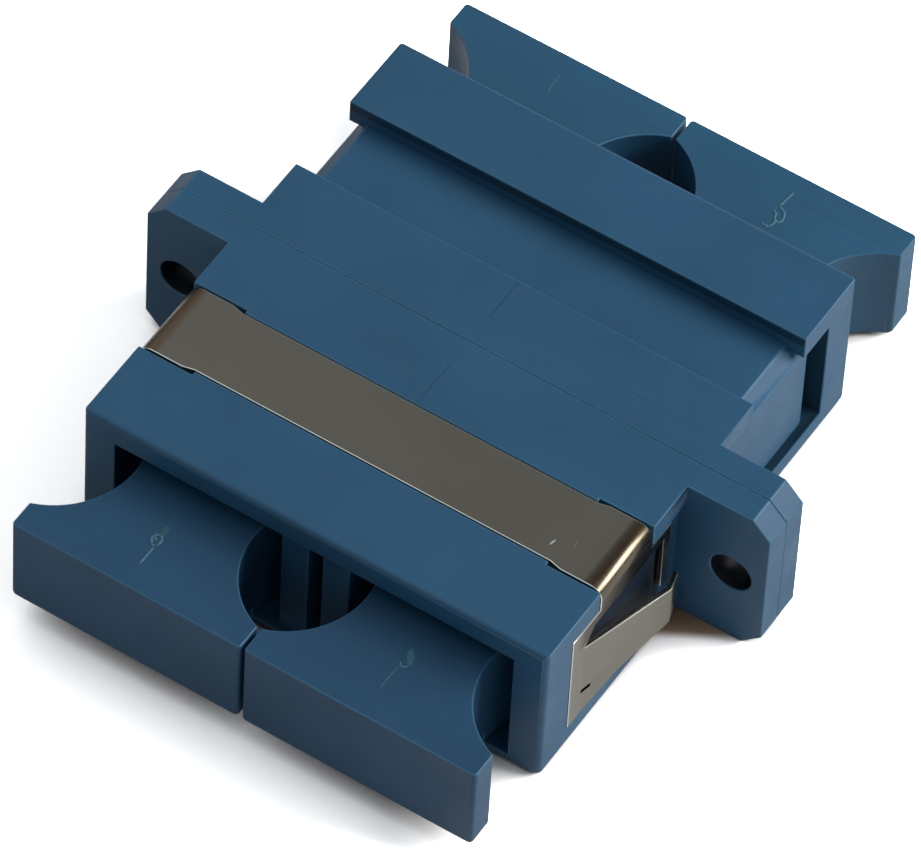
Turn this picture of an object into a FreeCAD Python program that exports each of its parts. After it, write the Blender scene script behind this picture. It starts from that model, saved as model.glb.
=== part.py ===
"""Duplex SC fibre adapter with a spring panel clip and four dust plugs.

Frame: +X runs across the two ports, +Y from the clip end to the plain end and +Z up.
The origin lies on the underside, midway across, in the plane where the two moulded
halves are welded together. Lengths named as reaches start from that joint plane.
"""
import FreeCAD, Part
import os
import re
import Sketcher

FRONT, REAR = -1, 1
LEFT, RIGHT = -1, 1

SIZES = [
    ("half_length", 13.4, "reach of one half to its mouth"),
    ("mouth_round", 0.3, "rounding of the body's top and side edges at the mouth"),
    ("toe_round", 0.5, "rounding of the body's lower edge at the mouth"),
    ("side_wall", 1.75, "wall between a port and the body's side"),
    ("roof_wall", 1.35, "wall above the ports"),
    ("floor_wall", 0.65, "wall below the ports"),
    ("port_pitch", 12.7, "port axis to port axis"),
    ("port_width", 9.0, "port opening, across"),
    ("port_height", 7.2, "port opening, floor to roof"),
    ("ear_width", 4.5, "flange ear, from the body's side"),
    ("flange_half", 1.46, "flange thickness that belongs to one half"),
    ("flange_corner", 1.0, "cut corners of the flange"),
    ("hole_place", 2.6, "screw hole axis from the body's side"),
    ("hole_width", 2.2, "screw hole diameter"),
    ("divider_setback", 0.3, "divider stands back from the mouth"),
    ("divider_slot", 0.76, "slot between the two divider ribs"),
    ("divider_slot_depth", 9.0, "depth of that slot from the mouth"),
    ("key_width", 2.5, "keyway in the port floor"),
    ("key_length", 6.0, "keyway length from the mouth"),
    ("peg_width", 1.0, "locating peg of the weld joint"),
    ("peg_length", 0.8, "locating peg length"),
    ("peg_gap", 0.05, "air round a locating peg"),
    ("peg_inset", 0.25, "locating peg axis from the body's side"),
    ("peg_height", 1.6, "locating pegs, from the underside and from the top"),
    ("recess_near", 4.3, "clip recess, reach of the edge by the flange"),
    ("recess_far", 8.85, "clip recess, reach of the edge by the mouth"),
    ("recess_wall", 0.2, "clip recess narrower than at its ends, each edge"),
    ("bare_depth", 1.1, "recess depth on the half without a clip"),
    ("bare_bevel", 0.7, "bevel at the ends of the bare recess"),
    ("pocket_far", 11.1, "side pocket, reach of the edge by the mouth"),
    ("pocket_roof", 7.85, "roof of the side pocket"),
    ("pocket_floor", 1.3, "lower edge of the side pocket"),
    ("slot_width", 0.8, "deep slot at the pocket's far end"),
    ("slot_depth", 1.25, "depth of the deep slot from the side"),
    ("slot_round", 0.7, "rounded lead into the deep slot of the bare half"),
    ("groove_height", 0.35, "groove above the lower rail of the bare half"),
    ("groove_depth", 0.9, "depth of that groove from the side"),
    ("sheet", 0.3, "spring steel thickness"),
    ("clip_gap", 0.05, "air between the clip and the plastic"),
    ("shoulder", 0.15, "extra width of the strip near its bends, each edge"),
    ("shoulder_length", 2.3, "strip shoulder, from the body's side"),
    ("shoulder_run", 0.6, "length of the slope into the shoulder"),
    ("bend", 0.65, "outside bend radius of the clip"),
    ("plate_near", 2.7, "side plate, reach of its edge by the flange"),
    ("strap_width", 0.6, "strap behind the window"),
    ("strap_foot", 3.6, "lower end of the strap"),
    ("band_height", 0.65, "side plate above the window"),
    ("leg_width", 1.1, "side plate between its mouth edge and the tab's root"),
    ("window_slant", 0.75, "slant of the window's end, along the plate"),
    ("tab_root_drop", 0.85, "tab's upper edge at its root, below the window's top"),
    ("tab_tip_drop", 1.79, "tab's upper edge at its tip, below the window's top"),
    ("tab_shelf_place", 2.25, "corner in the tab's lower edge, from the tab's root"),
    ("tab_shelf_rise", 1.1, "height of that corner above the pocket's edge"),
    ("tab_rise", 1.87, "tab's lower edge at its tip, above the pocket's edge"),
    ("tab_knee", 4.4, "reach of the knee where the tab's lip begins"),
    ("tab_flare", 1.2, "how far the knee stands out from the plate"),
    ("lip_length", 1.1, "length of the tab's lip"),
    ("lip_return", 0.3, "how far the lip turns back in from the knee"),
    ("anchor_turn", 0.9, "plate edge turned into the deep slot"),
    ("anchor_inset", 0.3, "turned edge shorter than the plate, each end"),
    ("barb_place", 1.3, "lanced slit's middle from the plate's mouth edge"),
    ("barb_height", 3.0, "height of the lanced slit"),
    ("barb_length", 0.65, "length of the lanced slit"),
    ("barb_width", 0.24, "width of the lanced slit"),
    ("base_step", 0.45, "holder base plate wider than the port, each side"),
    ("base_thick", 1.2, "holder base plate thickness"),
    ("holder_gap", 0.05, "air round the holder's base plate"),
    ("tube_wall", 0.55, "holder tube wall"),
    ("tube_lip", 0.65, "end wall that keeps the sleeve in the tube"),
    ("tube_mouth", 2.7, "hole in that end wall"),
    ("sleeve_outer", 3.2, "split sleeve, outside diameter"),
    ("sleeve_wall", 0.35, "split sleeve wall"),
    ("sleeve_length", 11.4, "split sleeve length"),
    ("sleeve_slit", 0.4, "slit along the sleeve"),
    ("sleeve_gap", 0.05, "air round the sleeve"),
    ("arm_room", 0.45, "room behind a latch arm for it to bend"),
    ("arm_thick", 0.75, "latch arm thickness"),
    ("arm_end", 4.3, "latch arm's end behind the mouth"),
    ("hook_height", 0.55, "hook stands in from the arm"),
    ("hook_flat", 0.5, "flat top of the hook"),
    ("hook_ramp", 0.7, "slope in front of the hook"),
    ("plug_gap", 0.1, "air between a plug and its port"),
    ("grip_gap", 0.1, "half the air between neighbouring grips"),
    ("front_grip_foot", 1.4, "underside of the front plugs' grips"),
    ("front_grip_height", 5.5, "height of the front plugs' grips"),
    ("rear_grip_foot", 0.35, "underside of the rear plugs' grips"),
    ("rear_grip_height", 5.95, "height of the rear plugs' grips"),
    ("grip_stand", 5.8, "plug grip's outer face from the mouth"),
    ("grip_round", 0.4, "rounding of the grip's lower outer edge"),
    ("corner_round", 0.2, "rounding of the grip's upright outer edges"),
    ("scallop", 4.5, "radius of the finger scallops"),
    ("scallop_place", 7.8, "scallop centre from the port axis"),
    ("scallop_stand", 0.1, "scallop centre from the mouth"),
    ("shank_rest", 1.4, "plug shank's inner end from the holder's base plate"),
    ("shank_setback", 2.9, "plug's shoulder behind the mouth"),
    ("shank_lead", 0.4, "bevel round the shank's inner end"),
    ("fork_room", 0.4, "room past the latch arms between the plug's prongs"),
    ("fork_gap", 0.2, "air between a prong and the holder's tube and arms"),
]

HALF_WIDTH = "(port_pitch / 2 + port_width / 2 + side_wall)"
HEIGHT = "(floor_wall + port_height + roof_wall)"
AXIS_HEIGHT = "(floor_wall + port_height / 2)"
SEAT = "(sheet + clip_gap)"
SLOT_NEAR = "(pocket_far - slot_width)"
PLATE_FAR = "(pocket_far - clip_gap)"
TAB_ROOT = f"({PLATE_FAR} - leg_width)"
WINDOW_HEAD = "(pocket_roof - clip_gap - band_height)"
SHOULDER_FOOT = f"({HALF_WIDTH} - shoulder_length - shoulder_run)"
BASE_WIDTH = "(port_width + 2 * base_step)"
BASE_HEIGHT = "(port_height - 2 * holder_gap)"
SLEEVE_ROOM = "(sleeve_outer + 2 * sleeve_gap)"
TUBE_WIDTH = f"({SLEEVE_ROOM} + 2 * tube_wall)"
ARM_INNER = "(port_width / 2 - arm_room - arm_thick)"
ARM_END = "(half_length - arm_end)"
GRIP_END = "(half_length + grip_stand)"
SCALLOP_REACH = "(half_length + scallop_stand)"
SHANK_END = "(base_thick + shank_rest)"
SHANK_FAR = "(half_length - shank_setback)"


def cells(text):
    """The same expression with each size read from the sheet."""
    return re.sub(r"[a-z]\w+", lambda word: f"Sizes.{word.group()}", text)


def signed(side, text):
    """A distance with the sign of its side."""
    return f"-({text})" if side < 0 else f"({text})"


class Piece:
    """One PartDesign body with short ways to sketch, pad, cut and round it."""

    def __init__(self, doc, label):
        self.doc = doc
        self.body = doc.addObject("PartDesign::Body", label)
        self.body.Label = label

    def value(self, text):
        """What an expression is worth now."""
        return float(self.doc.Sizes.evalExpression(text))

    def sketch(self, role, name, offset="0"):
        """Sketch on one of the body's own planes, moved along the plane's normal."""
        plane = next(part for part in self.body.Origin.OriginFeatures if part.Role == role)
        sketch = self.body.newObject("Sketcher::SketchObject", f"{self.body.Label}_{name}")
        sketch.AttachmentSupport = [(plane, "")]
        sketch.MapMode = "FlatFace"
        sketch.setExpression("AttachmentOffset.Base.z", cells(offset))
        return sketch

    def bind(self, sketch, index, position, point, texts):
        """Tie one sketch point to its two distances from the origin."""
        for kind, value, text in zip(("DistanceX", "DistanceY"), point, texts):
            number = sketch.addConstraint(Sketcher.Constraint(kind, -1, 1, index, position, value))
            sketch.setExpression(f"Constraints[{number}]", cells(text))

    def outline(self, sketch, corners):
        """Closed outline with straight sides through the given corners."""
        points = [[self.value(text) for text in corner] for corner in corners]
        first = sketch.GeometryCount
        count = len(points)
        for number in range(count):
            start = FreeCAD.Vector(*points[number], 0)
            end = FreeCAD.Vector(*points[(number + 1) % count], 0)
            sketch.addGeometry(Part.LineSegment(start, end), False)
        for number in range(count):
            after = first + (number + 1) % count
            sketch.addConstraint(Sketcher.Constraint("Coincident", first + number, 2, after, 1))
        for number in range(count):
            self.bind(sketch, first + number, 1, points[number], corners[number])

    def box(self, sketch, low, high):
        """Rectangle between two opposite corners."""
        self.outline(sketch, [low, (high[0], low[1]), high, (low[0], high[1])])

    def circle(self, sketch, centre, diameter):
        """Circle from its centre and its diameter."""
        point = [self.value(text) for text in centre]
        radius = self.value(diameter) / 2
        middle = FreeCAD.Vector(*point, 0)
        index = sketch.addGeometry(Part.Circle(middle, FreeCAD.Vector(0, 0, 1), radius), False)
        number = sketch.addConstraint(Sketcher.Constraint("Diameter", index, 2 * radius))
        sketch.setExpression(f"Constraints[{number}]", cells(diameter))
        self.bind(sketch, index, 3, point, centre)

    def feature(self, kind, sketch, length, reverse=False, both=False):
        """Pad or pocket of a sketch over a length; it has to change the volume."""
        before = self.body.Shape.Volume if self.body.Tip else 0.0
        made = self.body.newObject(f"PartDesign::{kind}", f"{sketch.Name}_{kind}")
        made.Profile = sketch
        made.Reversed = reverse
        made.Midplane = both
        made.setExpression("Length", cells(length))
        self.doc.recompute()
        change = made.Shape.Volume - before
        if change == 0 or (change > 0) != (kind == "Pad"):
            raise RuntimeError(f"{made.Name} changed the volume by {change:.6f}")
        return made

    def pad(self, sketch, length, reverse=False, both=False):
        """Material added over a length."""
        return self.feature("Pad", sketch, length, reverse, both)

    def pocket(self, sketch, length, reverse=False, both=False):
        """Material taken away over a length."""
        return self.feature("Pocket", sketch, length, reverse, both)

    def dress(self, kind, name, size, wanted):
        """Fillet or chamfer of the straight edges that pass the test."""
        base = self.body.Tip
        edges = [f"Edge{number}" for number, edge in enumerate(base.Shape.Edges, 1) if wanted(edge)]
        made = self.body.newObject(f"PartDesign::{kind}", f"{self.body.Label}_{name}")
        made.Base = (base, edges)
        made.setExpression("Radius" if kind == "Fillet" else "Size", cells(size))
        self.doc.recompute()
        return made

    def edge_test(self, axis, **places):
        """Test for straight edges along an axis whose middle is at the given distances."""
        wanted = {letter: abs(self.value(text)) for letter, text in places.items()}

        def passes(edge):
            run = edge.Vertexes[-1].Point - edge.Vertexes[0].Point
            if abs(abs(getattr(run, axis)) - edge.Length) > 1e-6:
                return False
            middle = edge.CenterOfMass
            return all(abs(abs(getattr(middle, key)) - place) < 1e-4 for key, place in wanted.items())

        return passes


def make_sheet(doc):
    """Spreadsheet with one row for each driving size: name, value, meaning."""
    sheet = doc.addObject("Spreadsheet::Sheet", "Sizes")
    for row, (name, value, meaning) in enumerate(SIZES, 1):
        sheet.set(f"A{row}", name)
        sheet.set(f"B{row}", str(value))
        sheet.set(f"C{row}", meaning)
        sheet.setAlias(f"B{row}", name)
    doc.recompute()


def port_box(side, width, height):
    """Corners of a rectangle round one port's axis, seen along Y."""
    middle = signed(side, "port_pitch / 2")
    low = (f"{middle} - ({width}) / 2", f"{AXIS_HEIGHT} - ({height}) / 2")
    high = (f"{middle} + ({width}) / 2", f"{AXIS_HEIGHT} + ({height}) / 2")
    return low, high


def housing(doc, label, end, clip_half):
    """One moulded half: flange, body, two ports, clip recess and side pockets."""
    piece = Piece(doc, label)
    outwards = end == REAR
    half, top = HALF_WIDTH, HEIGHT
    mouth = signed(-end, "half_length")

    sketch = piece.sketch("XZ_Plane", "flange")
    ear = f"({half} + ear_width)"
    cut = f"({ear} - flange_corner)"
    piece.outline(sketch, [
        (cut, "0"), (ear, "flange_corner"), (ear, f"{top} - flange_corner"), (cut, top),
        (f"-{cut}", top), (f"-{ear}", f"{top} - flange_corner"), (f"-{ear}", "flange_corner"),
        (f"-{cut}", "0")])
    piece.pad(sketch, "flange_half", reverse=outwards)

    sketch = piece.sketch("XZ_Plane", "shell")
    piece.box(sketch, (f"-{half}", "0"), (half, top))
    piece.pad(sketch, "half_length", reverse=outwards)
    flat = piece.edge_test("x", y="half_length", z=top)
    upright = piece.edge_test("z", y="half_length", x=half)
    piece.dress("Fillet", "mouth_round", "mouth_round", lambda edge: flat(edge) or upright(edge))
    piece.dress("Fillet", "toe_round", "toe_round", piece.edge_test("x", y="half_length", z="0"))

    sketch = piece.sketch("XZ_Plane", "ports")
    for side in (LEFT, RIGHT):
        piece.box(sketch, *port_box(side, "port_width", "port_height"))
    piece.pocket(sketch, "half_length", reverse=not outwards)
    sketch = piece.sketch("XZ_Plane", "mouth", mouth)
    across = "(port_pitch + port_width) / 2"
    low, high = port_box(RIGHT, "port_width", "port_height")
    piece.box(sketch, (f"-{across}", low[1]), (across, high[1]))
    piece.pocket(sketch, "divider_setback", reverse=outwards)
    sketch = piece.sketch("XZ_Plane", "divider", mouth)
    piece.box(sketch, ("-divider_slot / 2", low[1]), ("divider_slot / 2", high[1]))
    piece.pocket(sketch, "divider_slot_depth", reverse=outwards)
    sketch = piece.sketch("XZ_Plane", "keyways", mouth)
    for side in (LEFT, RIGHT):
        middle = signed(side, "port_pitch / 2")
        piece.box(sketch, (f"{middle} - key_width / 2", "0"), (f"{middle} + key_width / 2", AXIS_HEIGHT))
    piece.pocket(sketch, "key_length", reverse=outwards)

    sketch = piece.sketch("XZ_Plane", "holder_seats")
    for side in (LEFT, RIGHT):
        piece.box(sketch, *port_box(side, f"{BASE_WIDTH} + 2 * holder_gap", "port_height"))
    piece.pocket(sketch, "base_thick + holder_gap", reverse=not outwards)

    sketch = piece.sketch("XZ_Plane", "screw_holes")
    for side in (LEFT, RIGHT):
        piece.circle(sketch, (signed(side, f"{half} + hole_place"), f"{top} / 2"), "hole_width")
    piece.pocket(sketch, "flange_half", reverse=not outwards)

    sketch = piece.sketch("XZ_Plane", "pegs")
    for side in (LEFT, RIGHT):
        for height in ("peg_height", f"{top} - peg_height"):
            width = "peg_width + 2 * peg_gap" if clip_half else "peg_width"
            piece.circle(sketch, (signed(side, f"{half} - peg_inset"), height), width)
    if clip_half:
        piece.pocket(sketch, "peg_length + peg_gap", reverse=not outwards)
    else:
        piece.pad(sketch, "peg_length")

    if clip_half:
        recess(piece, end, SEAT, "recess_wall")
    else:
        recess(piece, end, "bare_depth", "0")
    pockets(piece, end)
    if clip_half:
        ends = piece.edge_test("y", x=f"{half} - {SEAT}", z=f"{top} - {SEAT}")
        piece.dress("Fillet", "bend_round", "bend - sheet", ends)
    else:
        rail_groove(piece, end)
        ends = piece.edge_test("y", x=f"{half} - {SEAT}", z=f"{top} - bare_depth")
        piece.dress("Chamfer", "recess_bevel", "bare_bevel", ends)
        lead = piece.edge_test("z", x=f"{half} - {SEAT}", y=SLOT_NEAR)
        piece.dress("Fillet", "slot_lead", "slot_round", lead)
    return piece


def recess(piece, end, depth, narrowing):
    """Band across the top that the clip's strip lies in, with its narrowing in the middle."""
    sketch = piece.sketch("XY_Plane", "recess", HEIGHT)
    half, neck = HALF_WIDTH, f"{SHOULDER_FOOT} - clip_gap"
    wide = (signed(end, "recess_near"), signed(end, "recess_far"))
    slim = (signed(end, f"recess_near + {narrowing}"), signed(end, f"recess_far - {narrowing}"))
    near = [(half, wide[0])]
    far = [(half, wide[1])]
    if narrowing != "0":
        near += [(neck, wide[0]), (neck, slim[0])]
        far += [(neck, wide[1]), (neck, slim[1])]
    corners = far + [(f"-({x})", y) for x, y in reversed(far)]
    corners += [(f"-({x})", y) for x, y in near] + near[::-1]
    piece.outline(sketch, corners)
    piece.pocket(sketch, depth)


def pockets(piece, end):
    """Shallow pocket on each side, open to the recess, with a deep slot at its far end."""
    near, far = signed(end, "flange_half"), signed(end, "pocket_far")
    for side in (LEFT, RIGHT):
        name = "left" if side == LEFT else "right"
        face = signed(side, HALF_WIDTH)
        sketch = piece.sketch("YZ_Plane", f"pocket_{name}", face)
        wide = (signed(end, "recess_near"), signed(end, "recess_far"))
        piece.outline(sketch, [
            (near, "pocket_floor"), (far, "pocket_floor"), (far, "pocket_roof"),
            (wide[1], "pocket_roof"), (wide[1], HEIGHT), (wide[0], HEIGHT),
            (wide[0], "pocket_roof"), (near, "pocket_roof")])
        piece.pocket(sketch, SEAT, reverse=side == LEFT)
        sketch = piece.sketch("YZ_Plane", f"slot_{name}", face)
        piece.box(sketch, (signed(end, SLOT_NEAR), "pocket_floor"), (far, "pocket_roof"))
        piece.pocket(sketch, "slot_depth", reverse=side == LEFT)


def rail_groove(piece, end):
    """Groove above the lower rail that runs into the deep slot."""
    for side in (LEFT, RIGHT):
        name = "left" if side == LEFT else "right"
        sketch = piece.sketch("YZ_Plane", f"groove_{name}", signed(side, HALF_WIDTH))
        low = (signed(end, "flange_half"), "pocket_floor")
        piece.box(sketch, low, (signed(end, SLOT_NEAR), "pocket_floor + groove_height"))
        piece.pocket(sketch, "groove_depth", reverse=side == LEFT)


def panel_clip(doc, label, end):
    """Spring clip folded from one sheet: strip, two side plates, lanced tabs and anchors."""
    piece = Piece(doc, label)
    outer, inner = HALF_WIDTH, f"({HALF_WIDTH} - sheet)"
    top, under = HEIGHT, f"({HEIGHT} - sheet)"
    plate_foot = "(pocket_floor + clip_gap)"
    near, far = "plate_near", PLATE_FAR

    sketch = piece.sketch("XZ_Plane", "section", signed(-end, near))
    piece.outline(sketch, [
        (outer, plate_foot), (outer, top), (f"-{outer}", top), (f"-{outer}", plate_foot),
        (f"-{inner}", plate_foot), (f"-{inner}", under), (inner, under), (inner, plate_foot)])
    piece.pad(sketch, f"{far} - {near}", reverse=end == REAR)
    piece.dress("Fillet", "bend_outside", "bend", piece.edge_test("y", x=outer, z=top))
    piece.dress("Fillet", "bend_inside", "bend - sheet", piece.edge_test("y", x=inner, z=under))

    sketch = piece.sketch("XY_Plane", "strip", top)
    for edge, slim, wide in (
        (near, "recess_near + recess_wall + clip_gap", "recess_near + recess_wall + clip_gap - shoulder"),
        (far, "recess_far - recess_wall - clip_gap", "recess_far - recess_wall - clip_gap + shoulder"),
    ):
        foot, step, past = SHOULDER_FOOT, f"{SHOULDER_FOOT} + shoulder_run", f"2 * {outer}"
        corners = [(past, edge), (past, wide), (step, wide), (foot, slim)]
        corners += [(f"-({x})", y) for x, y in reversed(corners)]
        piece.outline(sketch, [(x, signed(end, y)) for x, y in corners])
    piece.pocket(sketch, f"{top} - pocket_roof + clip_gap")

    sketch = piece.sketch("YZ_Plane", "window")
    root, corner = signed(end, TAB_ROOT), signed(end, f"{TAB_ROOT} - window_slant")
    close, root_head = signed(end, near), f"{WINDOW_HEAD} - tab_root_drop"
    piece.outline(sketch, [
        (root, "0"), (root, root_head), (corner, WINDOW_HEAD), (close, WINDOW_HEAD), (close, "0")])
    through = f"4 * {outer}"
    piece.pocket(sketch, through, both=True)

    sketch = piece.sketch("XY_Plane", "tabs", plate_foot)
    knee, tip = "tab_knee", "tab_knee - lip_length"
    start = f"{TAB_ROOT} + sheet"
    for side in (LEFT, RIGHT):
        path = [
            (outer, start), (outer, TAB_ROOT), (f"{outer} + tab_flare", knee),
            (f"{outer} + tab_flare - lip_return", tip), (f"{inner} + tab_flare - lip_return", tip),
            (f"{inner} + tab_flare", knee), (inner, TAB_ROOT), (inner, start)]
        piece.outline(sketch, [(signed(side, x), signed(end, y)) for x, y in path])
    piece.pad(sketch, f"{root_head} - {plate_foot}")

    sketch = piece.sketch("YZ_Plane", "tab_trim")
    tip_head, tip_foot = f"{WINDOW_HEAD} - tab_tip_drop", "pocket_floor + tab_rise"
    end_line, shelf = signed(end, tip), signed(end, f"{TAB_ROOT} - tab_shelf_place")
    piece.outline(sketch, [
        (root, root_head), (corner, WINDOW_HEAD), (end_line, WINDOW_HEAD), (end_line, tip_head)])
    piece.outline(sketch, [
        (root, plate_foot), (shelf, "pocket_floor + tab_shelf_rise"), (end_line, tip_foot),
        (end_line, "0"), (root, "0")])
    piece.pocket(sketch, through, both=True)

    for side in (LEFT, RIGHT):
        name = "left" if side == LEFT else "right"
        sketch = piece.sketch("YZ_Plane", f"strap_{name}", signed(side, outer))
        edge = signed(end, f"{near} + strap_width")
        piece.box(sketch, (close, "strap_foot"), (edge, f"{WINDOW_HEAD} + band_height / 2"))
        piece.pad(sketch, "sheet", reverse=side == RIGHT)

    sketch = piece.sketch("XZ_Plane", "anchors", signed(-end, far))
    for side in (LEFT, RIGHT):
        low = (signed(side, f"{outer} - anchor_turn"), "pocket_floor + clip_gap + anchor_inset")
        high = (signed(side, outer), "pocket_roof - clip_gap - anchor_inset")
        piece.box(sketch, low, high)
    piece.pad(sketch, "sheet", reverse=end == FRONT)

    sketch = piece.sketch("YZ_Plane", "slits")
    middle = f"{far} - barb_place"
    low = (signed(end, f"{middle} - barb_length / 2"), "barb_height - barb_width / 2")
    high = (signed(end, f"{middle} + barb_length / 2"), "barb_height + barb_width / 2")
    piece.box(sketch, low, high)
    piece.pocket(sketch, through, both=True)
    return piece


def holder(doc, label, end, side):
    """Sleeve holder: base plate on the joint plane, tube and two hooked latch arms."""
    piece = Piece(doc, label)
    outwards = end == REAR
    middle = signed(side, "port_pitch / 2")
    centre = (middle, AXIS_HEIGHT)
    sleeve_end = "(sleeve_length / 2 + sleeve_gap)"

    sketch = piece.sketch("XZ_Plane", "base")
    piece.box(sketch, *port_box(side, BASE_WIDTH, BASE_HEIGHT))
    piece.pad(sketch, "base_thick", reverse=outwards)
    sketch = piece.sketch("XZ_Plane", "tube")
    piece.circle(sketch, centre, TUBE_WIDTH)
    piece.pad(sketch, f"{sleeve_end} + tube_lip", reverse=outwards)

    sketch = piece.sketch("XY_Plane", "arms", AXIS_HEIGHT)
    hook = f"{ARM_INNER} - hook_height"
    hook_foot = f"{ARM_END} - hook_ramp - hook_flat"
    for hand in (LEFT, RIGHT):
        path = [
            (ARM_INNER, "base_thick / 2"), (f"{ARM_INNER} + arm_thick", "base_thick / 2"),
            (f"{ARM_INNER} + arm_thick", ARM_END), (ARM_INNER, ARM_END),
            (hook, f"{ARM_END} - hook_ramp"), (hook, hook_foot), (ARM_INNER, hook_foot)]
        piece.outline(sketch, [(f"{middle} + {signed(hand, x)}", signed(end, y)) for x, y in path])
    piece.pad(sketch, TUBE_WIDTH, both=True)

    sketch = piece.sketch("XZ_Plane", "sleeve_room")
    piece.circle(sketch, centre, SLEEVE_ROOM)
    piece.pocket(sketch, sleeve_end, reverse=not outwards)
    sketch = piece.sketch("XZ_Plane", "tube_mouth")
    piece.circle(sketch, centre, "tube_mouth")
    piece.pocket(sketch, f"{sleeve_end} + tube_lip", reverse=not outwards)
    return piece


def sleeve(doc, label, side):
    """Split alignment sleeve that spans the two holders of one port."""
    piece = Piece(doc, label)
    middle = signed(side, "port_pitch / 2")
    sketch = piece.sketch("XZ_Plane", "ring")
    piece.circle(sketch, (middle, AXIS_HEIGHT), "sleeve_outer")
    piece.circle(sketch, (middle, AXIS_HEIGHT), "sleeve_outer - 2 * sleeve_wall")
    piece.pad(sketch, "sleeve_length", both=True)
    sketch = piece.sketch("XZ_Plane", "slit")
    low = (f"{middle} - sleeve_slit / 2", AXIS_HEIGHT)
    piece.box(sketch, low, (f"{middle} + sleeve_slit / 2", f"{AXIS_HEIGHT} + sleeve_outer"))
    piece.pocket(sketch, "sleeve_length", both=True)
    return piece


def dust_plug(doc, label, end, side):
    """Dust plug: scalloped grip, neck, and a shank whose prongs straddle the holder."""
    piece = Piece(doc, label)
    end_name = "front" if end == FRONT else "rear"
    bottom, tall_grip = f"{end_name}_grip_foot", f"{end_name}_grip_height"
    neck_foot = "(floor_wall + plug_gap)"
    half = "(port_pitch / 2 - grip_gap)"
    neck = "(port_width / 2 - plug_gap)"

    sketch = piece.sketch("XY_Plane", "grip", bottom)
    piece.box(sketch, (f"-{half}", f"-{GRIP_END}"), (half, f"-{SCALLOP_REACH}"))
    piece.pad(sketch, tall_grip)
    piece.dress("Fillet", "grip_corners", "corner_round", piece.edge_test("z", x=half, y=GRIP_END))
    lower = piece.edge_test("x", y=GRIP_END, z=bottom)
    piece.dress("Fillet", "grip_toe", "grip_round", lower)
    sketch = piece.sketch("XY_Plane", "neck", neck_foot)
    piece.box(sketch, (f"-{neck}", f"-{SCALLOP_REACH}"), (neck, f"-{SHANK_FAR}"))
    piece.pad(sketch, f"{bottom} + {tall_grip} - {neck_foot}")
    for hand in (LEFT, RIGHT):
        name = "left" if hand == LEFT else "right"
        sketch = piece.sketch("XY_Plane", f"scallop_{name}", HEIGHT)
        piece.circle(sketch, (signed(hand, "scallop_place"), f"-{SCALLOP_REACH}"), "2 * scallop")
        piece.pocket(sketch, HEIGHT)

    sketch = piece.sketch("XZ_Plane", "shank", SHANK_END)
    tall = "(port_height / 2 - plug_gap)"
    piece.box(sketch, (f"-{neck}", f"{AXIS_HEIGHT} - {tall}"), (neck, f"{AXIS_HEIGHT} + {tall}"))
    piece.pad(sketch, f"{SHANK_FAR} - {SHANK_END}")
    around = [piece.edge_test("x", y=SHANK_END), piece.edge_test("z", y=SHANK_END)]
    piece.dress("Chamfer", "lead", "shank_lead", lambda edge: any(test(edge) for test in around))
    sketch = piece.sketch("XZ_Plane", "fork", SHANK_END)
    gap = f"({TUBE_WIDTH} / 2 + fork_gap)"
    piece.box(sketch, (f"-{half}", f"{AXIS_HEIGHT} - {gap}"), (half, f"{AXIS_HEIGHT} + {gap}"))
    piece.pocket(sketch, f"{ARM_END} + fork_room - {SHANK_END}", reverse=True)

    rotation = FreeCAD.Rotation(0 if end == FRONT else 180, 0, 0)
    piece.body.Placement = FreeCAD.Placement(FreeCAD.Vector(0, 0, 0), rotation)
    piece.body.setExpression("Placement.Base.x", cells(signed(side, "port_pitch / 2")))
    return piece


def save(doc, pieces):
    """Check every object of the document, then write one file for each piece."""
    doc.recompute()
    for item in doc.Objects:
        if "Invalid" in item.State or "Error" in item.State:
            raise RuntimeError(f"{item.Name} did not build: {item.State}")
    for piece in pieces:
        shape = piece.body.Shape
        if shape.isNull() or not shape.isValid() or len(shape.Solids) != 1:
            raise RuntimeError(f"{piece.body.Label} is not one valid solid")
    os.makedirs("parts", exist_ok=True)
    for piece in pieces:
        piece.body.Shape.exportStep(f"parts/{piece.body.Label}.step")


doc = FreeCAD.newDocument("duplex_adapter")
make_sheet(doc)
pieces = [
    housing(doc, "front_housing", FRONT, clip_half=True),
    housing(doc, "rear_housing", REAR, clip_half=False),
    panel_clip(doc, "panel_clip", FRONT),
]
for end, end_name in ((FRONT, "front"), (REAR, "rear")):
    for side, side_name in ((LEFT, "left"), (RIGHT, "right")):
        pieces.append(holder(doc, f"{end_name}_{side_name}_holder", end, side))
        pieces.append(dust_plug(doc, f"{end_name}_{side_name}_dust_plug", end, side))
for side, side_name in ((LEFT, "left"), (RIGHT, "right")):
    pieces.append(sleeve(doc, f"{side_name}_split_sleeve", side))
save(doc, pieces)
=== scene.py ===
import math

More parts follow.
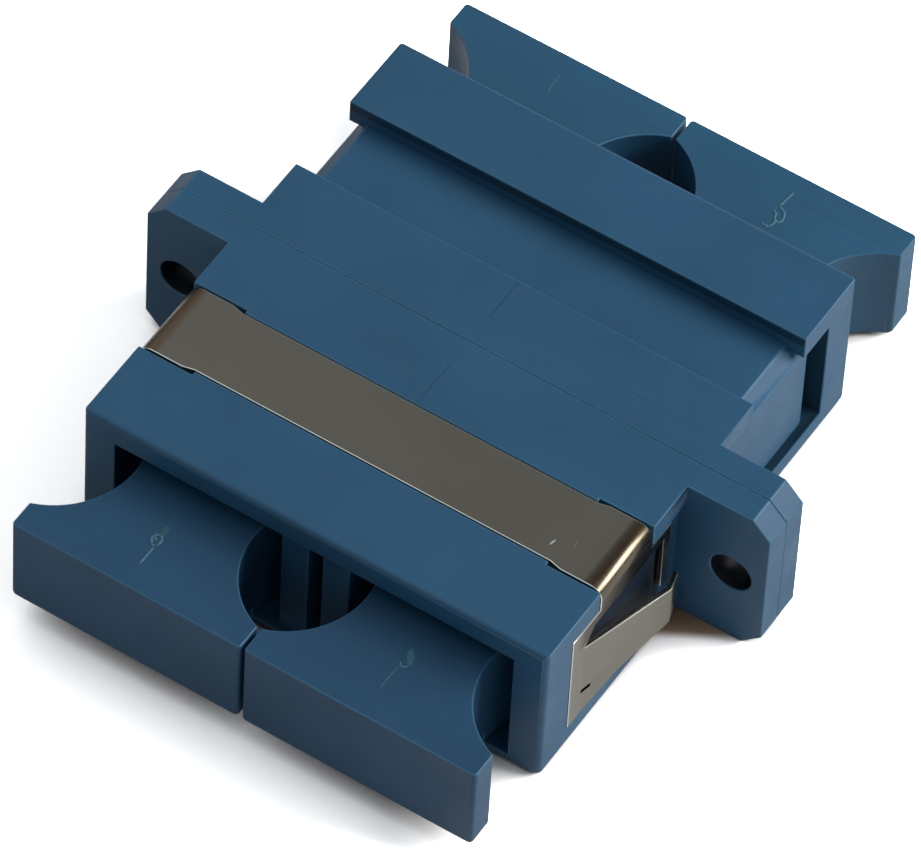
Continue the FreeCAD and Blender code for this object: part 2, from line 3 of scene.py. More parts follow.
import bmesh
import bpy
import numpy as np
from mathutils import Matrix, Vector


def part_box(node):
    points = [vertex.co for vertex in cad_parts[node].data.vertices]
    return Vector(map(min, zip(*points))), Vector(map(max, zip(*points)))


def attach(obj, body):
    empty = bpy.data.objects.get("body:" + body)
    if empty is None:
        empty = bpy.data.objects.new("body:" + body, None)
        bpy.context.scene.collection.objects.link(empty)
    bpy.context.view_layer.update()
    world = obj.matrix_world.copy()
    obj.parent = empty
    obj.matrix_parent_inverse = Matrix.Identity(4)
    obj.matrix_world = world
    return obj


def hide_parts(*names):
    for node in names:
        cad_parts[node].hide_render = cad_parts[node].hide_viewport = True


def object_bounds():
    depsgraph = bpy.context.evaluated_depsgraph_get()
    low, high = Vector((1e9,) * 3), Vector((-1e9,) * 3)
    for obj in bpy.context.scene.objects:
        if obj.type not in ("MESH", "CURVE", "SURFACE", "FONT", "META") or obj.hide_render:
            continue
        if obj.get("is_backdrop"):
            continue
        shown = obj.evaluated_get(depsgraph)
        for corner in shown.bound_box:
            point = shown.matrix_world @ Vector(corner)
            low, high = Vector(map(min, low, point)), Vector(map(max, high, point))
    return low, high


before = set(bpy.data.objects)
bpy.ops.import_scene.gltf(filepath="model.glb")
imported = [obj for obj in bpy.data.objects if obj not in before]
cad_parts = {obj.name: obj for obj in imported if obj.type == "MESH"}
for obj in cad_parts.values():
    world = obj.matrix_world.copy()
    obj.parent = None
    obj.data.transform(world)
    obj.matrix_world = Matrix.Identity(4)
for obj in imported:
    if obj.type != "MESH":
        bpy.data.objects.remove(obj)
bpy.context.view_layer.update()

# The space the solids fill. The origin lies on the underside, midway across, in the plane
# where the two halves meet. MM turns millimetres into the frame's metres.
MM = 0.001


# The bench: a white sheet under the adapter, a wide window on its right and a little behind,
# and a dim room. The camera looks down over the adapter's clip end.
def bench_sheet():
    """Square sheet in the XY plane a hair below the object: x and y run over a grid."""
    span = np.linspace(-1.5, 1.5, 31)
    x, y = np.meshgrid(span, span, indexing="ij")
    points = np.stack([x, y, np.full_like(x, -0.02 * MM)], axis=-1).reshape(-1, 3)
    row = np.arange(30)
    i, j = np.meshgrid(row, row, indexing="ij")
    first = (i * 31 + j).ravel()
    faces = np.stack([first, first + 31, first + 32, first + 1], axis=-1)
    mesh = bpy.data.meshes.new("bench_sheet")
    mesh.from_pydata(points.tolist(), [], faces.tolist())
    return mesh


sheet = bpy.data.objects.new("bench_sheet", bench_sheet())
bpy.context.collection.objects.link(sheet)
# The camera sees the paper brighter than it lights the adapter, and an ambient occlusion mask lays a painted
# brown shade on it close by the plastic.
paper = bpy.data.materials.new("white_paper")
paper.use_nodes = True
nodes, links = paper.node_tree.nodes, paper.node_tree.links
nodes.clear()
out = nodes.new("ShaderNodeOutputMaterial")
matt = nodes.new("ShaderNodeBsdfDiffuse")
seen = nodes.new("ShaderNodeLightPath")
shown = nodes.new("ShaderNodeMix")
shown.data_type = "RGBA"
shown.inputs["A"].default_value = (0.80, 0.79, 0.77, 1)
near = nodes.new("ShaderNodeAmbientOcclusion")
near.samples = 12
near.inputs["Distance"].default_value = 4.0 * MM
contact = nodes.new("ShaderNodeMapRange")
contact.inputs["From Min"].default_value, contact.inputs["From Max"].default_value = 0.16, 0.72
shade = nodes.new("ShaderNodeMix")
shade.data_type = "RGBA"
shade.inputs["A"].default_value = (0.20, 0.13, 0.085, 1)
shade.inputs["B"].default_value = (2.70, 2.68, 2.64, 1)
links.new(near.outputs["AO"], contact.inputs["Value"])
links.new(contact.outputs["Result"], shade.inputs["Factor"])
# Deep shade in front of the right ear, on the triangle that it keeps from the window: v < 5.3 for
# v = x / 3.45 - y / 2.05, right of x = 12.2 and in front of y = -1.2, in millimetres. Each mask
# has a direction and the places along it where it starts and is full.
spot = nodes.new("ShaderNodeTexCoord")
deep = None
ear_shade = ((1 / 3.45, -1 / 2.05, 5.45, 5.10), (1, 0, 12.1, 12.3), (0, -1, 1.1, 1.3))
for slope_x, slope_y, start, end in ear_shade:
    height = nodes.new("ShaderNodeVectorMath")
    height.operation = "DOT_PRODUCT"
    height.inputs[1].default_value = (slope_x, slope_y, 0)
    links.new(spot.outputs["Object"], height.inputs[0])
    side = nodes.new("ShaderNodeMapRange")
    side.interpolation_type = "SMOOTHSTEP"
    side.inputs["From Min"].default_value, side.inputs["From Max"].default_value = start * MM, end * MM
    links.new(height.outputs["Value"], side.inputs["Value"])
    both = nodes.new("ShaderNodeMath")
    both.operation = "MULTIPLY"
    both.inputs[1].default_value = 1.0
    links.new(side.outputs["Result"], both.inputs[0])
    if deep:
        links.new(deep, both.inputs[1])
    deep = both.outputs[0]
corner = nodes.new("ShaderNodeMix")
corner.data_type, corner.blend_type = "RGBA", "MULTIPLY"
corner.inputs["B"].default_value = (0.27, 0.19, 0.13, 1)
links.new(deep, corner.inputs["Factor"])
links.new(shade.outputs["Result"], corner.inputs["A"])
links.new(corner.outputs["Result"], shown.inputs["B"])
links.new(seen.outputs["Is Camera Ray"], shown.inputs["Factor"])
links.new(shown.outputs["Result"], matt.inputs["Color"])
links.new(matt.outputs[0], out.inputs["Surface"])
sheet.data.materials.append(paper)
sheet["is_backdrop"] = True


def window_light(name, toward, distance, width, height, watts, tint):
    """Area lamp at a distance along a direction from the object, facing it."""
    lamp = bpy.data.lights.new(name, "AREA")
    lamp.shape, lamp.size, lamp.size_y = "RECTANGLE", width, height
    lamp.energy, lamp.color = watts, tint
    holder = bpy.data.objects.new(name, lamp)
    toward = np.array(toward) / np.linalg.norm(toward)
    across = np.cross([0, 0, 1], toward)
    across /= np.linalg.norm(across)
    up = np.cross(toward, across)
    turn = np.eye(4)
    turn[:3, 0], turn[:3, 1], turn[:3, 2], turn[:3, 3] = across, up, toward, toward * distance
    holder.matrix_world = Matrix(turn.tolist())
    bpy.context.collection.objects.link(holder)


window_light("window", (0.70, 0.45, 0.56), 0.50, 0.34, 0.24, 2.9, (1.0, 0.985, 0.97))
window_light("ceiling", (-0.45, 0.0, 1.0), 0.70, 0.4, 0.4, 0.35, (1.0, 0.99, 0.97))

# The room glows more overhead than near the floor, with a dim patch high up behind.
room = bpy.data.worlds.new("room")
bpy.context.scene.world = room
room.use_nodes = True
nodes, links = room.node_tree.nodes, room.node_tree.links
air = nodes["Background"]
air.inputs["Color"].default_value = (0.42, 0.43, 0.445, 1)
where = nodes.new("ShaderNodeTexCoord")
height = nodes.new("ShaderNodeSeparateXYZ")
links.new(where.outputs["Generated"], height.inputs["Vector"])
rise = nodes.new("ShaderNodeMapRange")
rise.inputs["From Min"].default_value, rise.inputs["From Max"].default_value = -0.1, 0.75
rise.inputs["To Min"].default_value, rise.inputs["To Max"].default_value = 0.30, 1.15
links.new(height.outputs["Z"], rise.inputs["Value"])
facing = nodes.new("ShaderNodeVectorMath")
facing.operation = "DOT_PRODUCT"
facing.inputs[1].default_value = (0.16, 0.54, 0.83)
links.new(where.outputs["Generated"], facing.inputs[0])
dark = nodes.new("ShaderNodeMapRange")
dark.interpolation_type = "SMOOTHSTEP"
dark.inputs["From Min"].default_value, dark.inputs["From Max"].default_value = 0.86, 0.98
dark.inputs["To Min"].default_value, dark.inputs["To Max"].default_value = 1.0, 0.22
links.new(facing.outputs["Value"], dark.inputs["Value"])
level = nodes.new("ShaderNodeMath")
level.operation = "MULTIPLY"
links.new(rise.outputs["Result"], level.inputs[0])
links.new(dark.outputs["Result"], level.inputs[1])
links.new(level.outputs[0], air.inputs["Strength"])

bpy.context.scene.view_settings.view_transform = "Standard"

lens = bpy.data.cameras.new("bench_camera")
lens.lens, lens.sensor_width = 387.8, 36.0
lens.shift_x, lens.shift_y = 0.0030, -0.0027
lens.clip_start, lens.clip_end = 0.05, 10.0
camera = bpy.data.objects.new("bench_camera", lens)
right = np.array([0.8392, 0.5413, 0.0377])
back = np.array([0.3074, -0.5313, 0.7894])
back /= np.linalg.norm(back)
right -= back * right.dot(back)
right /= np.linalg.norm(right)
stand = np.eye(4)
stand[:3, 0], stand[:3, 1], stand[:3, 2] = right, np.cross(back, right), back
stand[:3, 3] = np.array([141.55, -245.61, 367.72]) * MM
camera.matrix_world = Matrix(stand.tolist())
bpy.context.collection.objects.link(camera)
bpy.context.scene.camera = camera


# The two housing halves: blue plastic mouldings welded together at the flange. Their edges
# come slightly rounded from the mould, and their skin is fine satin.
def softened(node, body, radius, sharp_box=None):
    """Copy of a node with its outward edges rounded to a radius.

    Doubles are merged and flat triangles joined. An edge is rounded where its faces turn
    outward by more than 28 degrees, unless its middle lies in sharp_box, given as the
    least and greatest |x|, |y| and z in millimetres. Other turns over 25 degrees stay crisp."""
    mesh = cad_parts[node].data.copy()
    mesh.name = node + "_moulded"
    mesh.materials.clear()
    work = bmesh.new()
    work.from_mesh(mesh)
    bmesh.ops.remove_doubles(work, verts=work.verts, dist=2e-6)
    bmesh.ops.dissolve_limit(work, angle_limit=math.radians(0.8), verts=work.verts, edges=work.edges)
    work.normal_update()
    turned = np.array([edge.calc_face_angle(0.0) for edge in work.edges])
    outward = np.array([edge.is_convex for edge in work.edges])
    middle = np.array([(edge.verts[0].co + edge.verts[1].co) / 2 for edge in work.edges]) / MM
    work.to_mesh(mesh)
    work.free()
    rounded = outward & (turned > math.radians(28))
    if sharp_box:
        least, most = np.array(sharp_box)
        middle[:, :2] = abs(middle[:, :2])
        rounded &= ~np.all((middle > least) & (middle < most), axis=1)
    crisp = mesh.attributes.new("sharp_edge", "BOOLEAN", "EDGE")
    crisp.data.foreach_set("value", ~rounded & (turned > math.radians(25)))
    weight = mesh.attributes.new("bevel_weight_edge", "FLOAT", "EDGE")
    weight.data.foreach_set("value", rounded.astype(np.float32))
    mesh.polygons.foreach_set("use_smooth", np.ones(len(mesh.polygons), dtype=bool))
    piece = bpy.data.objects.new(node + "_moulded", mesh)
    bpy.context.collection.objects.link(piece)
    rounding = piece.modifiers.new("rounded_edges", "BEVEL")
    rounding.width, rounding.segments = radius, 2
    rounding.limit_method = "WEIGHT"
    rounding.use_clamp_overlap, rounding.loop_slide = False, False
    # The rounded faces of housings, clip and plugs take the second material, which paints a highlight along
    # them.
    rounding.material = 1 if node.endswith(("housing", "clip", "plug")) else -1
    shading = piece.modifiers.new("even_shading", "WEIGHTED_NORMAL")
    shading.keep_sharp, shading.weight = True, 100
    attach(piece, body)
    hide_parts(node)
    return piece


def moulded_plastic(name, colour, roughness, seed):
    """Satin moulded plastic: slow drift of colour and shine, fine skin grain, a few specks.

    Noise fields of 8, 2 and 0.2 mm set colour, roughness and height; specks are spots round
    the cell points of a 2.2 mm Voronoi field, in the one cell of six with a high number."""
    material = bpy.data.materials.new(name)
    material.use_nodes = True
    nodes, links = material.node_tree.nodes, material.node_tree.links
    skin = nodes["Principled BSDF"]
    skin.inputs["Specular IOR Level"].default_value = 0.32
    skin.inputs["IOR"].default_value = 1.5
    place = nodes.new("ShaderNodeTexCoord")
    shift = nodes.new("ShaderNodeMapping")
    shift.inputs["Location"].default_value = (seed * 0.0137, seed * 0.0071, seed * 0.0193)
    links.new(place.outputs["Object"], shift.inputs["Vector"])

    def noise(scale, detail, rough):
        field = nodes.new("ShaderNodeTexNoise")
        field.inputs["Scale"].default_value = scale
        field.inputs["Detail"].default_value = detail
        field.inputs["Roughness"].default_value = rough
        links.new(shift.outputs["Vector"], field.inputs["Vector"])
        return field.outputs["Fac"]

    def mapped(value, low, high, to_low, to_high):
        ramp = nodes.new("ShaderNodeMapRange")
        for socket, number in zip(("From Min", "From Max", "To Min", "To Max"), (low, high, to_low, to_high)):
            ramp.inputs[socket].default_value = number
        links.new(value, ramp.inputs["Value"])
        return ramp.outputs["Result"]

    drift = nodes.new("ShaderNodeMix")
    drift.data_type = "RGBA"
    drift.inputs["A"].default_value = tuple(np.array(colour) * 0.92) + (1,)
    drift.inputs["B"].default_value = tuple(np.array(colour) * 1.08) + (1,)
    links.new(mapped(noise(130, 3, 0.55), 0.35, 0.65, 0, 1), drift.inputs["Factor"])
    cells = nodes.new("ShaderNodeTexVoronoi")
    cells.inputs["Scale"].default_value = 450
    links.new(shift.outputs["Vector"], cells.inputs["Vector"])
    number = nodes.new("ShaderNodeSeparateColor")
    links.new(cells.outputs["Color"], number.inputs["Color"])
    speck = nodes.new("ShaderNodeMath")
    speck.operation = "MULTIPLY"
    links.new(mapped(cells.outputs["Distance"], 0.012, 0.03, 1, 0), speck.inputs[0])
    links.new(mapped(number.outputs["Red"], 0.82, 0.9, 0, 0.5), speck.inputs[1])
    dusted = nodes.new("ShaderNodeMix")
    dusted.data_type = "RGBA"
    dusted.inputs["B"].default_value = (0.16, 0.24, 0.29, 1)
    links.new(speck.outputs[0], dusted.inputs["Factor"])
    links.new(drift.outputs["Result"], dusted.inputs["A"])
    links.new(dusted.outputs["Result"], skin.inputs["Base Color"])
    shine = mapped(noise(420, 4, 0.6), 0.3, 0.7, roughness - 0.05, roughness + 0.06)
    links.new(shine, skin.inputs["Roughness"])
    waves = nodes.new("ShaderNodeBump")
    waves.inputs["Strength"].default_value = 0.4
    waves.inputs["Distance"].default_value = 0.02 * MM
    links.new(noise(260, 2, 0.5), waves.inputs["Height"])
    grain = nodes.new("ShaderNodeBump")
    grain.inputs["Strength"].default_value = 0.5
    grain.inputs["Distance"].default_value = 0.01 * MM
    links.new(noise(5200, 3, 0.6), grain.inputs["Height"])
    links.new(waves.outputs["Normal"], grain.inputs["Normal"])
    links.new(grain.outputs["Normal"], skin.inputs["Normal"])
    return material


def within(material, spans, fade):
    """Mask that is 1 where each named coordinate lies in its span and falls to 0 over the fade,
    both in millimetres. A name between bars, such as |y|, stands for the coordinate's size."""
    nodes, links = material.node_tree.nodes, material.node_tree.links
    place = nodes.new("ShaderNodeTexCoord")
    apart = nodes.new("ShaderNodeSeparateXYZ")
    links.new(place.outputs["Object"], apart.inputs["Vector"])
    mask = None
    for (name, (least, most)), soft in zip(spans.items(), fade):
        value = apart.outputs[name.strip("|").upper()]
        if name.startswith("|"):
            size = nodes.new("ShaderNodeMath")
            size.operation = "ABSOLUTE"
            links.new(value, size.inputs[0])
            value = size.outputs[0]
        for end, away in ((least, soft), (most, -soft)):
            edge = nodes.new("ShaderNodeMapRange")
            edge.interpolation_type = "SMOOTHSTEP"
            edge.inputs["From Min"].default_value = (end - away) * MM
            edge.inputs["From Max"].default_value = (end + away) * MM
            links.new(value, edge.inputs["Value"])
            both = nodes.new("ShaderNodeMath")
            both.operation = "MULTIPLY"
            both.inputs[1].default_value = 1.0
            links.new(edge.outputs["Result"], both.inputs[0])
            if mask:
                links.new(mask, both.inputs[1])
            mask = both.outputs[0]
    return mask


def faint_step(material, spans, fade, depth):
    """Raised patch, too shallow to be shape: the mask of these spans, as high as the depth."""
    nodes, links = material.node_tree.nodes, material.node_tree.links
    patch = nodes.new("ShaderNodeBump")
    patch.inputs["Strength"].default_value = 1.0
    patch.inputs["Distance"].default_value = depth * MM
    links.new(within(material, spans, fade), patch.inputs["Height"])
    last = nodes["Principled BSDF"].inputs["Normal"].links[0].from_node
    while last.inputs["Normal"].links:
        last = last.inputs["Normal"].links[0].from_node
    links.new(patch.outputs["Normal"], last.inputs["Normal"])


def repaint(material, mask, colour):
    """Lay a colour over the material's own where the mask is 1."""
    nodes, links = material.node_tree.nodes, material.node_tree.links
    skin = nodes["Principled BSDF"].inputs["Base Color"]
    coat = nodes.new("ShaderNodeMix")
    coat.data_type = "RGBA"
    coat.inputs["B"].default_value = colour + (1,)
    links.new(mask, coat.inputs["Factor"])
    links.new(skin.links[0].from_socket, coat.inputs["A"])
    links.new(coat.outputs["Result"], skin)


housing_blue = moulded_plastic("housing_blue", (0.0165, 0.074, 0.146), 0.46, 1)
# The rounded edges of housings and plugs take a lighter blue, a painted highlight along them.
edge_highlight_blue = moulded_plastic("edge_highlight_blue", (0.030, 0.110, 0.190), 0.42, 2)
# On both halves the right side stands a faint step higher next to the flange.
faint_step(housing_blue, {"x": (-0.2, 12.8), "|y|": (1.7, 4.7)}, (0.03, 0.03), 0.02)
# A darker tone stands in for shade where little light gets in: the pockets behind the clip, the
# screw holes, and on the bare half the rim's face over the recess, the slots and the grooves.
pocket_tone, hole_tone, corner_tone = (0.006, 0.018, 0.034), (0.006, 0.009, 0.016), (0.008, 0.036, 0.066)
for tone, spans, fade in (
        (pocket_tone, {"|x|": (11.0, 12.45), "y": (-10.9, -2.9), "z": (1.4, 7.7)}, (0.02, 0.2, 0.2)),
        (hole_tone, {"|x|": (14.05, 16.35), "y": (-1.40, 1.40), "z": (3.45, 5.75)}, (0.02, 0.06, 0.02)),
        (corner_tone, {"y": (8.80, 8.90), "z": (8.62, 9.12)}, (0.01, 0.10)),
        (corner_tone, {"|x|": (11.2, 12.52), "y": (10.35, 11.2), "z": (1.2, 7.95)}, (0.02, 0.1, 0.02)),
        (corner_tone, {"|x|": (11.6, 12.52), "y": (2.9, 10.4), "z": (1.2, 1.72)}, (0.02, 0.1, 0.1))):
    repaint(housing_blue, within(housing_blue, spans, fade), tone)
# The roof line of the bare half's pockets stays sharp where the deep slot's curved lead meets it.
slot_roof = ((11.2, 8.7, 7.7), (12.7, 11.2, 8.0))
mould_round = 0.07 * MM
for half, unrounded in (("front_housing", None), ("rear_housing", slot_roof)):
    moulded = softened(half, "adapter", mould_round, unrounded)
    moulded.data.materials.append(housing_blue)
    moulded.data.materials.append(edge_highlight_blue)


# The panel clip: one strip of spring steel, blanked, folded down both sides, its turned edges
# hooked in the housing's deep slots and a tab lanced out of each side. Rolled grain runs along
# it, its cut edges carry a painted highlight in much brighter steel, it bows down a little near
# the folds, and has two nicks on top.
def rolled_steel(name, dull, bright, roughness):
    """Cold rolled spring steel: noise drawn out 16 times along the strip, u = |x| - z, which
    runs across the top and down the sides, in colour, shine and height."""
    material = bpy.data.materials.new(name)
    material.use_nodes = True
    nodes, links = material.node_tree.nodes, material.node_tree.links
    steel = nodes["Principled BSDF"]
    steel.inputs["Metallic"].default_value = 1.0
    place = nodes.new("ShaderNodeTexCoord")
    apart = nodes.new("ShaderNodeSeparateXYZ")
    links.new(place.outputs["Object"], apart.inputs["Vector"])
    across = nodes.new("ShaderNodeMath")
    across.operation = "ABSOLUTE"
    links.new(apart.outputs["X"], across.inputs[0])
    run = nodes.new("ShaderNodeMath")
    run.operation = "SUBTRACT"
    links.new(across.outputs[0], run.inputs[0])
    links.new(apart.outputs["Z"], run.inputs[1])
    drawn = nodes.new("ShaderNodeMath")
    drawn.operation = "MULTIPLY"
    drawn.inputs[1].default_value = 0.06
    links.new(run.outputs[0], drawn.inputs[0])
    flat = nodes.new("ShaderNodeCombineXYZ")
    links.new(drawn.outputs[0], flat.inputs["X"])
    links.new(apart.outputs["Y"], flat.inputs["Y"])
    grain = nodes.new("ShaderNodeTexNoise")
    grain.inputs["Scale"].default_value = 6000
    grain.inputs["Detail"].default_value = 3
    links.new(flat.outputs["Vector"], grain.inputs["Vector"])
    cloud = nodes.new("ShaderNodeTexNoise")
    cloud.inputs["Scale"].default_value = 180
    cloud.inputs["Detail"].default_value = 3
    links.new(place.outputs["Object"], cloud.inputs["Vector"])
    tone = nodes.new("ShaderNodeMix")
    tone.data_type = "RGBA"
    tone.inputs["A"].default_value = dull + (1,)
    tone.inputs["B"].default_value = bright + (1,)
    links.new(cloud.outputs["Fac"], tone.inputs["Factor"])
    links.new(tone.outputs["Result"], steel.inputs["Base Color"])
    rub = nodes.new("ShaderNodeMapRange")
    rub.inputs["From Min"].default_value, rub.inputs["From Max"].default_value = 0.3, 0.7
    rub.inputs["To Min"].default_value = roughness - 0.02
    rub.inputs["To Max"].default_value = roughness + 0.025
    links.new(grain.outputs["Fac"], rub.inputs["Value"])
    links.new(rub.outputs["Result"], steel.inputs["Roughness"])
    ridges = nodes.new("ShaderNodeBump")
    ridges.inputs["Strength"].default_value = 0.12
    ridges.inputs["Distance"].default_value = 0.003 * MM
    links.new(grain.outputs["Fac"], ridges.inputs["Height"])
    links.new(ridges.outputs["Normal"], steel.inputs["Normal"])
    return material


spring_steel = rolled_steel("spring_steel", (0.205, 0.192, 0.160), (0.255, 0.240, 0.205), 0.25)
# The cut edges take a much brighter steel, a painted highlight along them.
edge_highlight_steel = rolled_steel("edge_highlight_steel", (0.70, 0.68, 0.62), (0.82, 0.80, 0.74), 0.24)
faint_step(spring_steel, {"|x|": (-1.0, 11.85)}, (0.35,), 0.055)
# Painted reflection and shade: a brown band before the fold where the strip mirrors a dark
# part of the room, a darker tone on the fold that paints its highlight dimmer, a dark band on the
# plate's upper edge where it mirrors the dark flange, and painted shade in the slit.
for tone, spans, fade in (
        ((0.17, 0.12, 0.08), {"|x|": (11.75, 12.3), "z": (8.9, 9.3)}, (0.3, 0.1)),
        ((0.15, 0.13, 0.095), {"|x|": (12.2, 12.7), "z": (8.3, 9.3)}, (0.06, 0.2)),
        ((0.055, 0.045, 0.033), {"|x|": (12.4, 13.0), "y": (-10.3, -2.0), "z": (6.6, 8.35)},
         (0.1, 0.4, 0.25)),
        ((0.02, 0.02, 0.02), {"y": (-10.09, -9.41), "z": (2.87, 3.13)}, (0.01, 0.01))):
    repaint(spring_steel, within(spring_steel, spans, fade), tone)


def nick(material, start, end, wide, tone):
    """Spindle-shaped scratch from start to end, (x, y) in millimetres: the tone is full in the
    middle half of an ellipse on that line, as wide as given, and gone at its rim."""
    nodes, links = material.node_tree.nodes, material.node_tree.links
    start, end = np.array(start), np.array(end)
    place = nodes.new("ShaderNodeTexCoord")
    line = nodes.new("ShaderNodeMapping")
    line.vector_type = "TEXTURE"
    line.inputs["Location"].default_value = tuple((start + end) / 2 * MM) + (0,)
    line.inputs["Rotation"].default_value = (0, 0, math.atan2(*(end - start)[::-1]))
    line.inputs["Scale"].default_value = (np.linalg.norm(end - start) / 2 * MM, wide / 2 * MM, 1)
    links.new(place.outputs["Object"], line.inputs["Vector"])
    reach = nodes.new("ShaderNodeVectorMath")
    reach.operation = "LENGTH"
    links.new(line.outputs["Vector"], reach.inputs[0])
    scraped = nodes.new("ShaderNodeMapRange")
    scraped.inputs["From Min"].default_value, scraped.inputs["From Max"].default_value = 0.5, 1.0
    scraped.inputs["To Min"].default_value, scraped.inputs["To Max"].default_value = 1.0, 0.0
    links.new(reach.outputs["Value"], scraped.inputs["Value"])
    repaint(material, scraped.outputs["Result"], tone)


nick(spring_steel, (9.16, -7.88), (9.27, -7.40), 0.12, (0.95, 0.95, 0.93))
nick(spring_steel, (10.20, -7.51), (10.13, -6.87), 0.08, (0.36, 0.34, 0.25))
# The edges of the thin slit in each side stay sharp.
slit_edges = ((11.0, 9.2, 2.7), (13.0, 10.3, 3.3))
clip = softened("panel_clip", "adapter", 0.045 * MM, slit_edges)
clip.data.materials.append(spring_steel)
clip.data.materials.append(edge_highlight_steel)


# The four dust plugs: mouldings in the housing's plastic, pushed into the ports. Each has a
# shallow step on one side of its top and a gate mark near the middle line: torn threads, a low
# ridge, sometimes a smear.
gate_blue = moulded_plastic("gate_blue", (0.048, 0.132, 0.182), 0.5, 7)
smear_blue = moulded_plastic("smear_blue", (0.021, 0.090, 0.128), 0.5, 8)


def gate_mark(plug, threads, smears):
    """Vestige of the gate, half sunk in the top face of the plug's grip, which is the part of it
    more than 15 mm from the flange's middle plane. Lengths are in millimetres.

    A thread is a tube, flattened to 0.6, along a cubic Hermite curve through its points, its
    thickness waving as 1 + 0.2 sin(31 s) + 0.12 sin(57 s + 2) over its run s from 0 to 1 and
    fading at both ends.
    A smear is a low mound, height h (1 - s^4) over a ragged, leaning oval s < 1."""
    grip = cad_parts[plug].data.vertices
    spots = np.empty(3 * len(grip))
    grip.foreach_get("co", spots)
    spots = spots.reshape(-1, 3) / MM
    in_grip = abs(spots[:, 1]) > 15
    top = spots[in_grip, 2].max()
    points, faces, slots = [], [], []

    def grid(block, slot):
        start, (rows, columns) = sum(len(b) for b in points), block.shape[:2]
        points.append(block.reshape(-1, 3))
        i, j = np.meshgrid(np.arange(rows - 1), np.arange(columns), indexing="ij")
        corner = [(i + a) * columns + (j + b) % columns for a, b in ((0, 0), (1, 0), (1, 1), (0, 1))]
        faces.extend((np.stack([c.ravel() for c in corner], axis=-1) + start).tolist())
        slots.extend([slot] * i.size)

    for thick, stops in threads:
        stops = np.array(stops)
        knots = np.linspace(0, 1, len(stops))
        run = np.linspace(0, 1, 12 * len(stops))
        slope = np.gradient(stops, knots, axis=0)
        left = np.clip(np.searchsorted(knots, run, side="right") - 1, 0, len(stops) - 2)
        width = knots[left + 1] - knots[left]
        t = ((run - knots[left]) / width)[:, None]
        path = ((1 + 2 * t) * (1 - t) ** 2 * stops[left] + t ** 2 * (3 - 2 * t) * stops[left + 1]
                + width[:, None] * (t * (1 - t) ** 2 * slope[left] - t ** 2 * (1 - t) * slope[left + 1]))
        ahead = np.gradient(path, axis=0)
        ahead /= np.linalg.norm(ahead, axis=1)[:, None]
        wave = 1 + 0.2 * np.sin(31 * run) + 0.12 * np.sin(57 * run + 2)
        wave *= thick * np.clip(np.minimum(run, 1 - run) * 3 * len(stops), 0.05, 1)
        angle = np.linspace(0, 2 * np.pi, 10, endpoint=False)
        wall = np.stack([ahead[:, 1:] * np.cos(angle), -ahead[:, :1] * np.cos(angle),
                         np.tile(0.6 * np.sin(angle), (len(path), 1))], axis=-1)
        centre = np.column_stack([path, np.full(len(path), top - 0.006)])
        grid(centre[:, None] + wall * wave[:, None, None], 0)
    around = np.linspace(0, 2 * np.pi, 64, endpoint=False)
    for x, y, half_wide, half_long, lean, high in smears:
        ring = np.linspace(1.0, 0.02, 12)[:, None]
        ragged = 1 + 0.10 * np.sin(2 * around + 9 * x) + 0.07 * np.sin(5 * around)
        ragged += 0.05 * np.sin(11 * around + x)
        forth = half_long * ring * ragged * np.sin(around)
        block = np.stack([x + lean * forth + half_wide * ring * ragged * np.cos(around), y + forth,
                          top - 0.004 + high * (1 - ring ** 4) + 0 * around], axis=-1)
        grid(block, 1)
    mesh = bpy.data.meshes.new(plug + "_gate_mark")
    mesh.from_pydata((np.concatenate(points) * MM).tolist(), [], faces)
    mesh.polygons.foreach_set("use_smooth", np.ones(len(mesh.polygons), dtype=bool))
    mesh.materials.append(gate_blue)
    mesh.materials.append(smear_blue)
    mesh.polygons.foreach_set("material_index", np.array(slots, dtype=np.int32))
    work = bmesh.new()
    work.from_mesh(mesh)
    bmesh.ops.recalc_face_normals(work, faces=work.faces)
    for face in work.faces:
        if face.material_index == 1 and face.normal.z < 0:
            face.normal_flip()
    work.to_mesh(mesh)
    work.free()
    mark = bpy.data.objects.new(plug + "_gate_mark", mesh)
    bpy.context.collection.objects.link(mark)
    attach(mark, plug)


gate_mark("front_left_dust_plug",
          [(0.062, [(-6.51, -17.86), (-6.50, -17.25), (-6.50, -16.62)]),
           (0.075, [(-6.50, -16.62), (-6.70, -16.52), (-6.87, -16.27), (-6.82, -16.03), (-6.64, -15.95),
                    (-6.46, -16.04), (-6.40, -16.28), (-6.45, -16.55)]),
           (0.065, [(-6.84, -16.2), (-6.70, -16.18), (-6.66, -16.36)])],
          [(-6.74, -16.22, 0.11, 0.16, 0.0, 0.012), (-6.57, -15.60, 0.20, 0.34, 0.0, 0.012)])
gate_mark("front_right_dust_plug",
          [(0.018, [(6.35, -17.40), (6.36, -17.1), (6.36, -16.5), (6.37, -15.95)]),
           (0.045, [(6.33, -15.70), (6.42, -15.90), (6.62, -15.88), (6.75, -15.74)])],
          [(6.56, -15.25, 0.19, 0.50, -0.40, 0.014), (6.36, -17.40, 0.07, 0.05, 0.0, 0.014)])
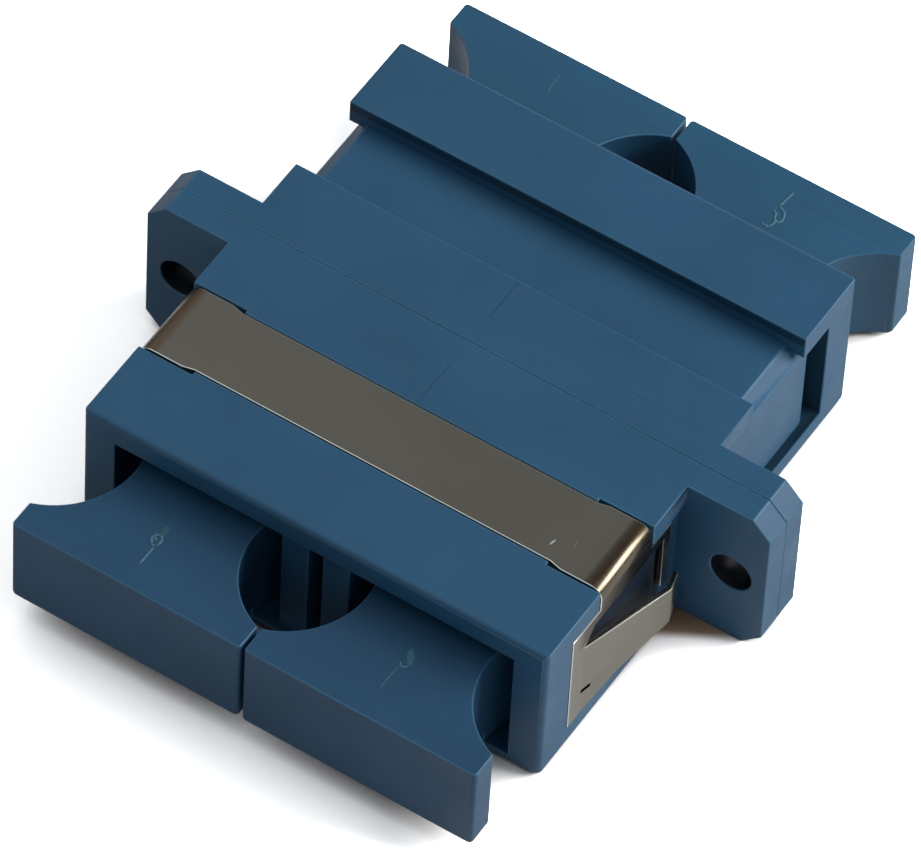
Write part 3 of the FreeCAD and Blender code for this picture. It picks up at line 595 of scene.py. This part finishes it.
gate_mark("rear_left_dust_plug", [(0.018, [(-6.51, 18.11), (-6.48, 17.5), (-6.44, 16.62)])], [])
gate_mark("rear_right_dust_plug",
          [(0.065, [(6.43, 18.14), (6.37, 17.6), (6.30, 17.0)]),
           (0.075, [(6.30, 17.0), (6.56, 16.92), (6.76, 16.73), (6.86, 16.38), (6.73, 16.12), (6.51, 16.26),
                    (6.40, 16.52), (6.14, 16.76)]),
           (0.070, [(6.50, 16.30), (6.60, 16.10), (6.60, 15.88), (6.48, 15.70), (6.26, 15.66),
                    (6.18, 15.75)])], [])

# Each plug's skin has its shallow step on the left as one faces its grip. The rear pair's blue
# is painted a shade lighter and the front pair's a shade darker, painted light standing in for
# the fuller light on the rear pair.
for plug in ("front_left_dust_plug", "front_right_dust_plug", "rear_left_dust_plug", "rear_right_dust_plug"):
    low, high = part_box(plug)
    middle = (low[0] + high[0]) / 2 / MM
    outward = 1 if low[1] + high[1] > 0 else -1
    tint = (0.0150 + 0.0022 * outward, 0.070 + 0.012 * outward, 0.138 + 0.018 * outward)
    plug_skin = moulded_plastic("plug_skin", tint, 0.46, 5 + outward)
    step_middle = middle + outward * 3.4
    step = {"x": (step_middle - 3.0, step_middle + 3.0), "|y|": (17.8, 19.4)}
    faint_step(plug_skin, step, (1.0, 0.03), 0.02)
    moulded = softened(plug, plug, mould_round)
    moulded.data.materials.append(plug_skin)
    moulded.data.materials.append(edge_highlight_blue)


# The sleeve holders: pale mouldings behind the ports, welded in between the halves, each
# with two hooked arms that latch a connector.
holder_white = moulded_plastic("holder_white", (0.62, 0.60, 0.55), 0.42, 9)
for holder in ("front_left_holder", "front_right_holder", "rear_left_holder", "rear_right_holder"):
    moulded = softened(holder, "adapter", 0.05 * MM)
    moulded.data.materials.append(holder_white)


# The split sleeves: thin rolled bronze tubes that float in the holders and line up the two
# connectors' ferrules.
bronze = rolled_steel("sleeve_bronze", (0.55, 0.37, 0.18), (0.66, 0.47, 0.25), 0.3)
for sleeve in ("left_split_sleeve", "right_split_sleeve"):
    shell = softened(sleeve, "adapter", 0.03 * MM)
    shell.data.materials.append(bronze)


low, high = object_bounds()
